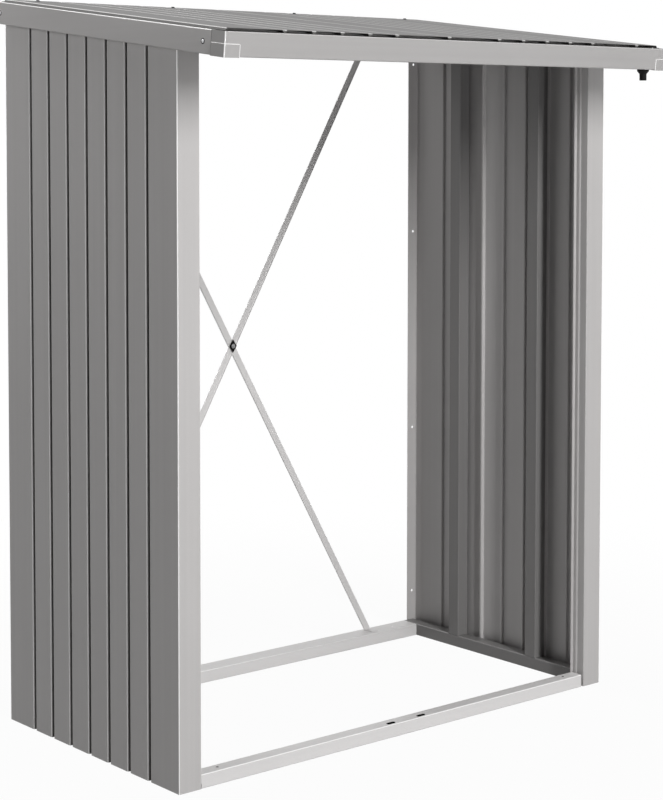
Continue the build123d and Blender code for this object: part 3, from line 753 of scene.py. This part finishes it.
class LOGSTORE_OT_sheet_paint(bpy.types.Operator):
    """Give the sheet nodes, the brace clip and the spigot their finishes"""
    bl_idname = "logstore.sheet_paint"
    bl_label = "Sheet Paint"

    def execute(self, context):
        finish = context.scene.log_store_finish
        folds = finish.fold_highlight_colour[:], finish.fold_metallic, finish.groove_shade_colour[:]
        edges = finish.edge_highlight_colour[:], finish.fold_metallic, finish.groove_shade_colour[:]
        gloss = finish.paint_metallic, finish.paint_roughness
        # Lit and shaded copies of the one paint for the different parts
        paint, inner = (finish.paint_colour[:], *gloss), (finish.shaded_inner_colour[:], *gloss)
        gutter, lit_paint = (finish.shaded_gutter_colour[:], *gloss), (finish.lit_base_colour[:], *gloss)
        cover = finish.shaded_roof_colour[:], finish.roof_metallic, finish.roof_roughness
        underside_shade = finish.underside_shade_colour[:], finish.underside_shade_reach
        roof = RoofPlace(context.scene.log_store_fixings.roof_fall)
        wall_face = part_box("right_middle_panel")[1].x
        # Bright colour and level for the painted highlight on the posts' front corners
        corner = finish.edge_highlight_colour[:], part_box("right_front_corner_panel")[0].y + finish.corner_highlight_reach
        # Grooves and the front rail's hollow for the painted shade: outward way, level of the flats, depths
        left_groove = (-1.0, 0.0, 0.0), wall_face, WALL_SHADE_DEPTHS
        right_groove = SIDEWAYS, wall_face, WALL_SHADE_DEPTHS
        roof_groove = tuple(roof.normal), float(roof.points(0.0, 0.0, 0.0) @ roof.normal), ROOF_SHADE_DEPTHS
        rail_hollow = (0.0, -1.0, 0.0), -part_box("base_front_rail")[0].y, RAIL_SHADE_DEPTHS
        left_wall = *paint, UPRIGHT_STREAKS, folds, left_groove, None, corner
        right_wall = *paint, UPRIGHT_STREAKS, folds, right_groove, None, corner
        # Finishes: lit and shaded copies of the paint, painted highlights on folds and edges, painted shade
        # in hollows and on the roof's underside
        groups = {
            "silver_paint_left_wall": (LEFT_WALL_NODES, *left_wall),
            "silver_paint_right_wall": (RIGHT_WALL_NODES, *right_wall),
            "silver_paint_crosswise": (CROSSWISE_NODES, *gutter, CROSSWISE_STREAKS, folds),
            "silver_paint_cap": (CAP_NODES, *gutter, LENGTHWISE_STREAKS, edges),
            "silver_paint_lengthwise": (LENGTHWISE_NODES, *paint, LENGTHWISE_STREAKS, folds),
            "silver_paint_stiffener": (STIFFENER_NODES, *inner, UPRIGHT_STREAKS, None),
            "silver_paint_inner": (INNER_NODES, *inner, LENGTHWISE_STREAKS, None),
            "silver_paint_front_rail": (FRONT_RAIL_NODES, *lit_paint, CROSSWISE_STREAKS, edges, rail_hollow),
            "silver_paint_rear_rail": (REAR_RAIL_NODES, *lit_paint, CROSSWISE_STREAKS, edges),
            "silver_paint_strap": (STRAP_NODES, *lit_paint, EVEN_STREAKS, None),
            "silver_paint_roof": (ROOF_NODES, *cover, LENGTHWISE_STREAKS, folds, roof_groove, underside_shade),
        }
        for name, (nodes, *look) in groups.items():
            material = named_material(name, paint_material, *look)
            for node in nodes:
                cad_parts[node].material_slots[0].material = material
        for node in ("brace_cross_clip", "drain_spigot"):
            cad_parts[node].material_slots[0].material = black_plastic_and_shadow(context)
        return {"FINISHED"}


class LOGSTORE_OT_wall_screws(bpy.types.Operator):
    """Add the screws in the joint grooves and at the feet of both side walls"""
    bl_idname = "logstore.wall_screws"
    bl_label = "Wall Screws"

    def execute(self, context):
        sizes = context.scene.log_store_fixings
        low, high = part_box("right_middle_panel")
        front, rear = low.y + sizes.lap_edge, high.y - sizes.lap_edge
        middle, pitch = (front + rear) / 2, (rear - front) / JOINT_PITCHES
        seat = high.x - sizes.groove_depth
        joints = rows(seat, [front, rear, front, rear], np.repeat(sizes.joint_screw_heights[:], 2))
        feet = rows(seat, middle + FOOT_SCREW_GROOVES * pitch, sizes.foot_screw_height)
        centres = both_sides(np.concatenate([joints, feet]))
        points, faces = turned_heads(PAN_HEAD, centres, side_outs(centres), sizes.wall_screw_radius,
                                     sizes.wall_screw_height, PAN_SOCKET_FLOOR)
        # Near-black heads: painted shade of the grooves they sit in
        new_piece("wall_screws", points, faces, shaded_plated(context))
        return {"FINISHED"}


class LOGSTORE_OT_roof_screws(bpy.types.Operator):
    """Add the side fascias' screws and washers and the screws along the roof's rear edge"""
    bl_idname = "logstore.roof_screws"
    bl_label = "Roof Screws"

    def execute(self, context):
        sizes = context.scene.log_store_fixings
        roof = RoofPlace(sizes.roof_fall)
        _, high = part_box("roof_right_fascia")
        runs = (CAD_HIGH.y - np.array(sizes.fascia_screw_places[:])) / math.cos(roof.angle)
        washers = both_sides(roof.points(high.x, runs, sizes.fascia_screw_rise))
        centres = washers + side_outs(washers) * sizes.washer_height
        points, faces = turned_heads(PAN_HEAD, centres, side_outs(centres), sizes.fascia_screw_radius,
                                     sizes.fascia_screw_height, PAN_SOCKET_FLOOR)
        new_piece("fascia_screws", points, faces, plated(context))
        # Black discs under the heads: painted shadow round each fascia screw
        points, faces = turned_heads(FLAT_HEAD, washers, side_outs(washers), sizes.washer_radius,
                                     sizes.washer_height, FLAT_TOP)
        new_piece("fascia_shadow_washers", points, faces, black_plastic_and_shadow(context))

        outer, inner = sizes.roof_screw_places
        centres = roof.points([-outer, -inner, inner, outer], sizes.roof_screw_inset, 0.0)
        outs = np.repeat(roof.normal[None], len(centres), axis=0)
        # The roof screws take the same near-black painted shade
        points, faces = turned_heads(HEX_HEAD, centres, outs, sizes.roof_screw_radius,
                                     sizes.roof_screw_height, FLAT_TOP)
        new_piece("roof_screws", points, faces, shaded_plated(context))
        return {"FINISHED"}


class LOGSTORE_OT_cap_beads(bpy.types.Operator):
    """Add the rounded beads along the step and the inner edge of both gutter end caps"""
    bl_idname = "logstore.cap_beads"
    bl_label = "Cap Beads"

    def execute(self, context):
        sizes = context.scene.log_store_fixings
        finish = context.scene.log_store_finish
        roof = RoofPlace(sizes.roof_fall)
        low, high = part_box("gutter_right_end_cap")
        radius, bend = sizes.bead_radius, sizes.cap_bend
        corner = np.linspace(0.0, math.pi / 2, CORNER_STEPS)
        across = np.concatenate([
            np.linspace(low.x + radius, high.x - bend, BEAD_STEPS)[:-1],
            high.x - bend + (bend - radius) * np.sin(corner),
            np.full(BEAD_STEPS, high.x - radius)])
        run = np.concatenate([
            np.full(BEAD_STEPS - 1, sizes.cap_front - radius),
            sizes.cap_front - bend + (bend - radius) * np.cos(corner),
            np.linspace(sizes.cap_front - bend, sizes.cap_back, BEAD_STEPS + 1)[1:]])
        step = roof.points(across, run, sizes.cap_step)
        rise = np.linspace(sizes.cap_low, sizes.cap_step, BEAD_STEPS)
        edge = roof.points(low.x - radius * BEAD_OUTSIDE, sizes.cap_front - radius, rise)
        # The beads take the bright edge colour: a painted highlight along the caps' step and inner edge
        paint = finish.edge_highlight_colour[:], finish.paint_metallic, finish.paint_roughness
        material = named_material("silver_paint_bead", paint_material, *paint, LENGTHWISE_STREAKS, None)
        for name, path, up in (("cap_step_beads", step, roof.normal), ("cap_edge_beads", edge, roof.down)):
            paths = both_sides(path).reshape(2, -1, 3)
            points, faces = carried_beads(paths, up, radius)
            new_piece(name, points, faces, material)
        return {"FINISHED"}


class LOGSTORE_OT_spigot(bpy.types.Operator):
    """Add the rounded funnel and tube of the drain spigot"""
    bl_idname = "logstore.spigot"
    bl_label = "Drain Spigot"

    def execute(self, context):
        low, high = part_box("drain_spigot")
        centres = rows((low.x + high.x) / 2, (low.y + high.y) / 2, high.z)[None]
        points, faces = turned_heads(SPIGOT, centres, np.array([[0.0, 0.0, -1.0]]), (high.x - low.x) / 2,
                                     high.z - low.z, SPIGOT_BORE_END)
        new_piece("drain_funnel", points, faces, black_plastic_and_shadow(context), "drain_spigot")
        return {"FINISHED"}


class LOGSTORE_OT_slot_shade_plugs(bpy.types.Operator):
    """Add matt black plug heads on the front rail's two slots: painted shade for the dark slots"""
    bl_idname = "logstore.slot_plugs"
    bl_label = "Slot Plugs"

    def execute(self, context):
        sizes = context.scene.log_store_fixings
        length, width, height = sizes.plug_size
        centres = both_sides(np.array([sizes.plug_place[:]]))
        outs = np.array([UPWARDS] * len(centres))
        points, faces = turned_heads(FLAT_HEAD, centres, outs, width / 2, height, FLAT_TOP,
                                     (length - width) / 2)
        new_piece("rail_slot_shade_plugs", points, faces, matt_rubber(context))
        return {"FINISHED"}


class LOGSTORE_OT_brace_bolt(bpy.types.Operator):
    """Add the bolt through the clip where the brace straps cross"""
    bl_idname = "logstore.brace_bolt"
    bl_label = "Brace Bolt"

    def execute(self, context):
        sizes = context.scene.log_store_fixings
        low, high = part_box("brace_cross_clip")
        centres = rows((low.x + high.x) / 2, low.y, (low.z + high.z) / 2)[None]
        points, faces = turned_heads(HEX_HEAD, centres, np.array([[0.0, -1.0, 0.0]]), sizes.bolt_radius,
                                     sizes.bolt_height, FLAT_TOP)
        new_piece("brace_bolt", points, faces, plated(context))
        return {"FINISHED"}


def white_rays(tree):
    """1 for rays that should see plain white: from the camera, from gloss and through glass."""
    path = new_node(tree, "ShaderNodeLightPath")
    seen = mixed(tree, "MAXIMUM", path.outputs["Is Camera Ray"], path.outputs["Is Glossy Ray"])
    return mixed(tree, "MAXIMUM", seen, path.outputs["Is Transmission Ray"])


def floor_material(name, grey, white, near, far):
    """Pale floor: matt grey that keeps shadows, seen with a share of plain white that grows outwards."""
    material, tree, output = new_material(name)
    place = new_node(tree, "ShaderNodeTexCoord").outputs["Object"]
    away = new_node(tree, "ShaderNodeVectorMath", operation="LENGTH")
    tree.links.new(place, away.inputs[0])
    fade = new_node(tree, "ShaderNodeMapRange", {
        "From Min": near, "From Max": far, "To Min": white, "To Max": 1.0}, interpolation_type="SMOOTHSTEP")
    tree.links.new(away.outputs["Value"], fade.inputs["Value"])
    matt = new_node(tree, "ShaderNodeBsdfDiffuse", {"Color": (grey, grey, grey, 1.0)})
    plain = new_node(tree, "ShaderNodeEmission", {"Color": PLAIN_WHITE, "Strength": 1.0})
    blend = new_node(tree, "ShaderNodeMixShader")
    tree.links.new(mixed(tree, "MULTIPLY", white_rays(tree), fade.outputs["Result"]), blend.inputs["Fac"])
    tree.links.new(matt.outputs["BSDF"], blend.inputs[1])
    tree.links.new(plain.outputs["Emission"], blend.inputs[2])
    tree.links.new(blend.outputs["Shader"], output.inputs["Surface"])
    return material


def flat_sheet(reach):
    """Corners of a level square: point(u, v) = (u, v, 0) for u and v of -reach and reach."""
    across, back = np.meshgrid([-reach, reach], [-reach, reach], indexing="ij")
    return rows(across, back, 0.0).reshape(-1, 3)


def soft_lamp(scene, name, strength, way, spread):
    """A far, wide lamp that shines evenly on the store and the floor from this direction."""
    light = bpy.data.lights.new(name, "SUN")
    light.energy = strength
    light.angle = spread
    lamp = bpy.data.objects.new(name, light)
    lamp.rotation_euler = Vector(way).to_track_quat("Z", "Y").to_euler()
    lamp.location = Vector(way) * LAMP_DISTANCE
    scene.collection.objects.link(lamp)


def strip_lamp(scene, name, power, place, size):
    """A flat upright lamp that faces the middle of the store."""
    light = bpy.data.lights.new(name, "AREA")
    light.energy = power
    light.shape = "RECTANGLE"
    light.size, light.size_y = size
    lamp = bpy.data.objects.new(name, light)
    lamp.location = place
    middle = Vector((0.0, 0.0, CAD_HIGH.z / 2))
    lamp.rotation_euler = (middle - Vector(place)).to_track_quat("-Z", "Y").to_euler()
    scene.collection.objects.link(lamp)


class LOGSTORE_OT_stage(bpy.types.Operator):
    """Set up the floor, the soft lamps, the white surroundings and the camera"""
    bl_idname = "logstore.stage"
    bl_label = "Stage"

    def execute(self, context):
        scene = context.scene
        stage = scene.log_store_stage
        mesh = bpy.data.meshes.new("floor")
        mesh.from_pydata(flat_sheet(stage.floor_reach), [], [FLOOR_FACE])
        mesh.materials.append(named_material(
            "pale_floor", floor_material, stage.floor_shade, stage.floor_white, *stage.floor_fade))
        floor = bpy.data.objects.new("floor", mesh)
        scene.collection.objects.link(floor)

        soft_lamp(scene, "key_lamp", stage.key_strength, stage.key_way, stage.key_spread)
        soft_lamp(scene, "back_lamp", stage.back_strength, stage.back_way, stage.back_spread)
        soft_lamp(scene, "right_lamp", stage.right_strength, stage.right_way, stage.key_spread)
        soft_lamp(scene, "rear_lamp", stage.rear_strength, stage.rear_way, stage.back_spread)
        strip_lamp(scene, "low_strip_lamp", stage.low_power, stage.low_place, stage.low_size)
        strip_lamp(scene, "high_strip_lamp", stage.high_power, stage.high_place, stage.high_size)
        strip_lamp(scene, "side_strip_lamp", stage.side_power, stage.side_place, stage.side_size)

        world = bpy.data.worlds.new("studio")
        world.use_nodes = True
        tree = world.node_tree
        tree.nodes.clear()
        output = new_node(tree, "ShaderNodeOutputWorld")
        light = new_node(tree, "ShaderNodeBackground", {
            "Color": PLAIN_WHITE, "Strength": stage.sky_strength})
        white = new_node(tree, "ShaderNodeBackground", {"Color": PLAIN_WHITE, "Strength": 1.0})
        blend = new_node(tree, "ShaderNodeMixShader")
        tree.links.new(white_rays(tree), blend.inputs["Fac"])
        tree.links.new(light.outputs["Background"], blend.inputs[1])
        tree.links.new(white.outputs["Background"], blend.inputs[2])
        tree.links.new(blend.outputs["Shader"], output.inputs["Surface"])
        scene.world = world

        lens = bpy.data.cameras.new("camera")
        lens.lens = stage.camera_lens
        lens.shift_x, lens.shift_y = stage.camera_shift
        camera = bpy.data.objects.new("camera", lens)
        camera.location = stage.camera_place
        camera.rotation_euler = stage.camera_turn
        scene.collection.objects.link(camera)
        scene.camera = camera
        scene.view_settings.view_transform = "Standard"
        return {"FINISHED"}


class LOGSTORE_PT_looks(bpy.types.Panel):
    """Sizes, colours and steps of the log store"""
    bl_label = "Log Store"
    bl_idname = "LOGSTORE_PT_looks"
    bl_space_type = "VIEW_3D"
    bl_region_type = "UI"
    bl_category = "Log Store"

    def draw(self, context):
        for group in (getattr(context.scene, name) for name in GROUPS):
            column = self.layout.column()
            for name in group.__annotations__:
                column.prop(group, name)
        for step in STEPS:
            self.layout.operator(step.bl_idname)


GROUPS = {
    "log_store_finish": LogStoreFinish,
    "log_store_fixings": LogStoreFixings,
    "log_store_stage": LogStoreStage,
}
STEPS = (
    LOGSTORE_OT_sheet_paint,
    LOGSTORE_OT_wall_screws,
    LOGSTORE_OT_roof_screws,
    LOGSTORE_OT_cap_beads,
    LOGSTORE_OT_spigot,
    LOGSTORE_OT_slot_shade_plugs,
    LOGSTORE_OT_brace_bolt,
    LOGSTORE_OT_stage,
)
CLASSES = (*GROUPS.values(), *STEPS, LOGSTORE_PT_looks)


def register():
    for cls in CLASSES:
        bpy.utils.register_class(cls)
    for name, group in GROUPS.items():
        setattr(bpy.types.Scene, name, bpy.props.PointerProperty(type=group))


def unregister():
    for name in GROUPS:
        delattr(bpy.types.Scene, name)
    for cls in reversed(CLASSES):
        bpy.utils.unregister_class(cls)


def main():
    register()
    bpy.ops.logstore.sheet_paint()
    bpy.ops.logstore.wall_screws()
    bpy.ops.logstore.roof_screws()
    bpy.ops.logstore.cap_beads()
    bpy.ops.logstore.spigot()
    bpy.ops.logstore.slot_plugs()
    bpy.ops.logstore.brace_bolt()
    bpy.ops.logstore.stage()


if __name__ == "__main__":
    main()
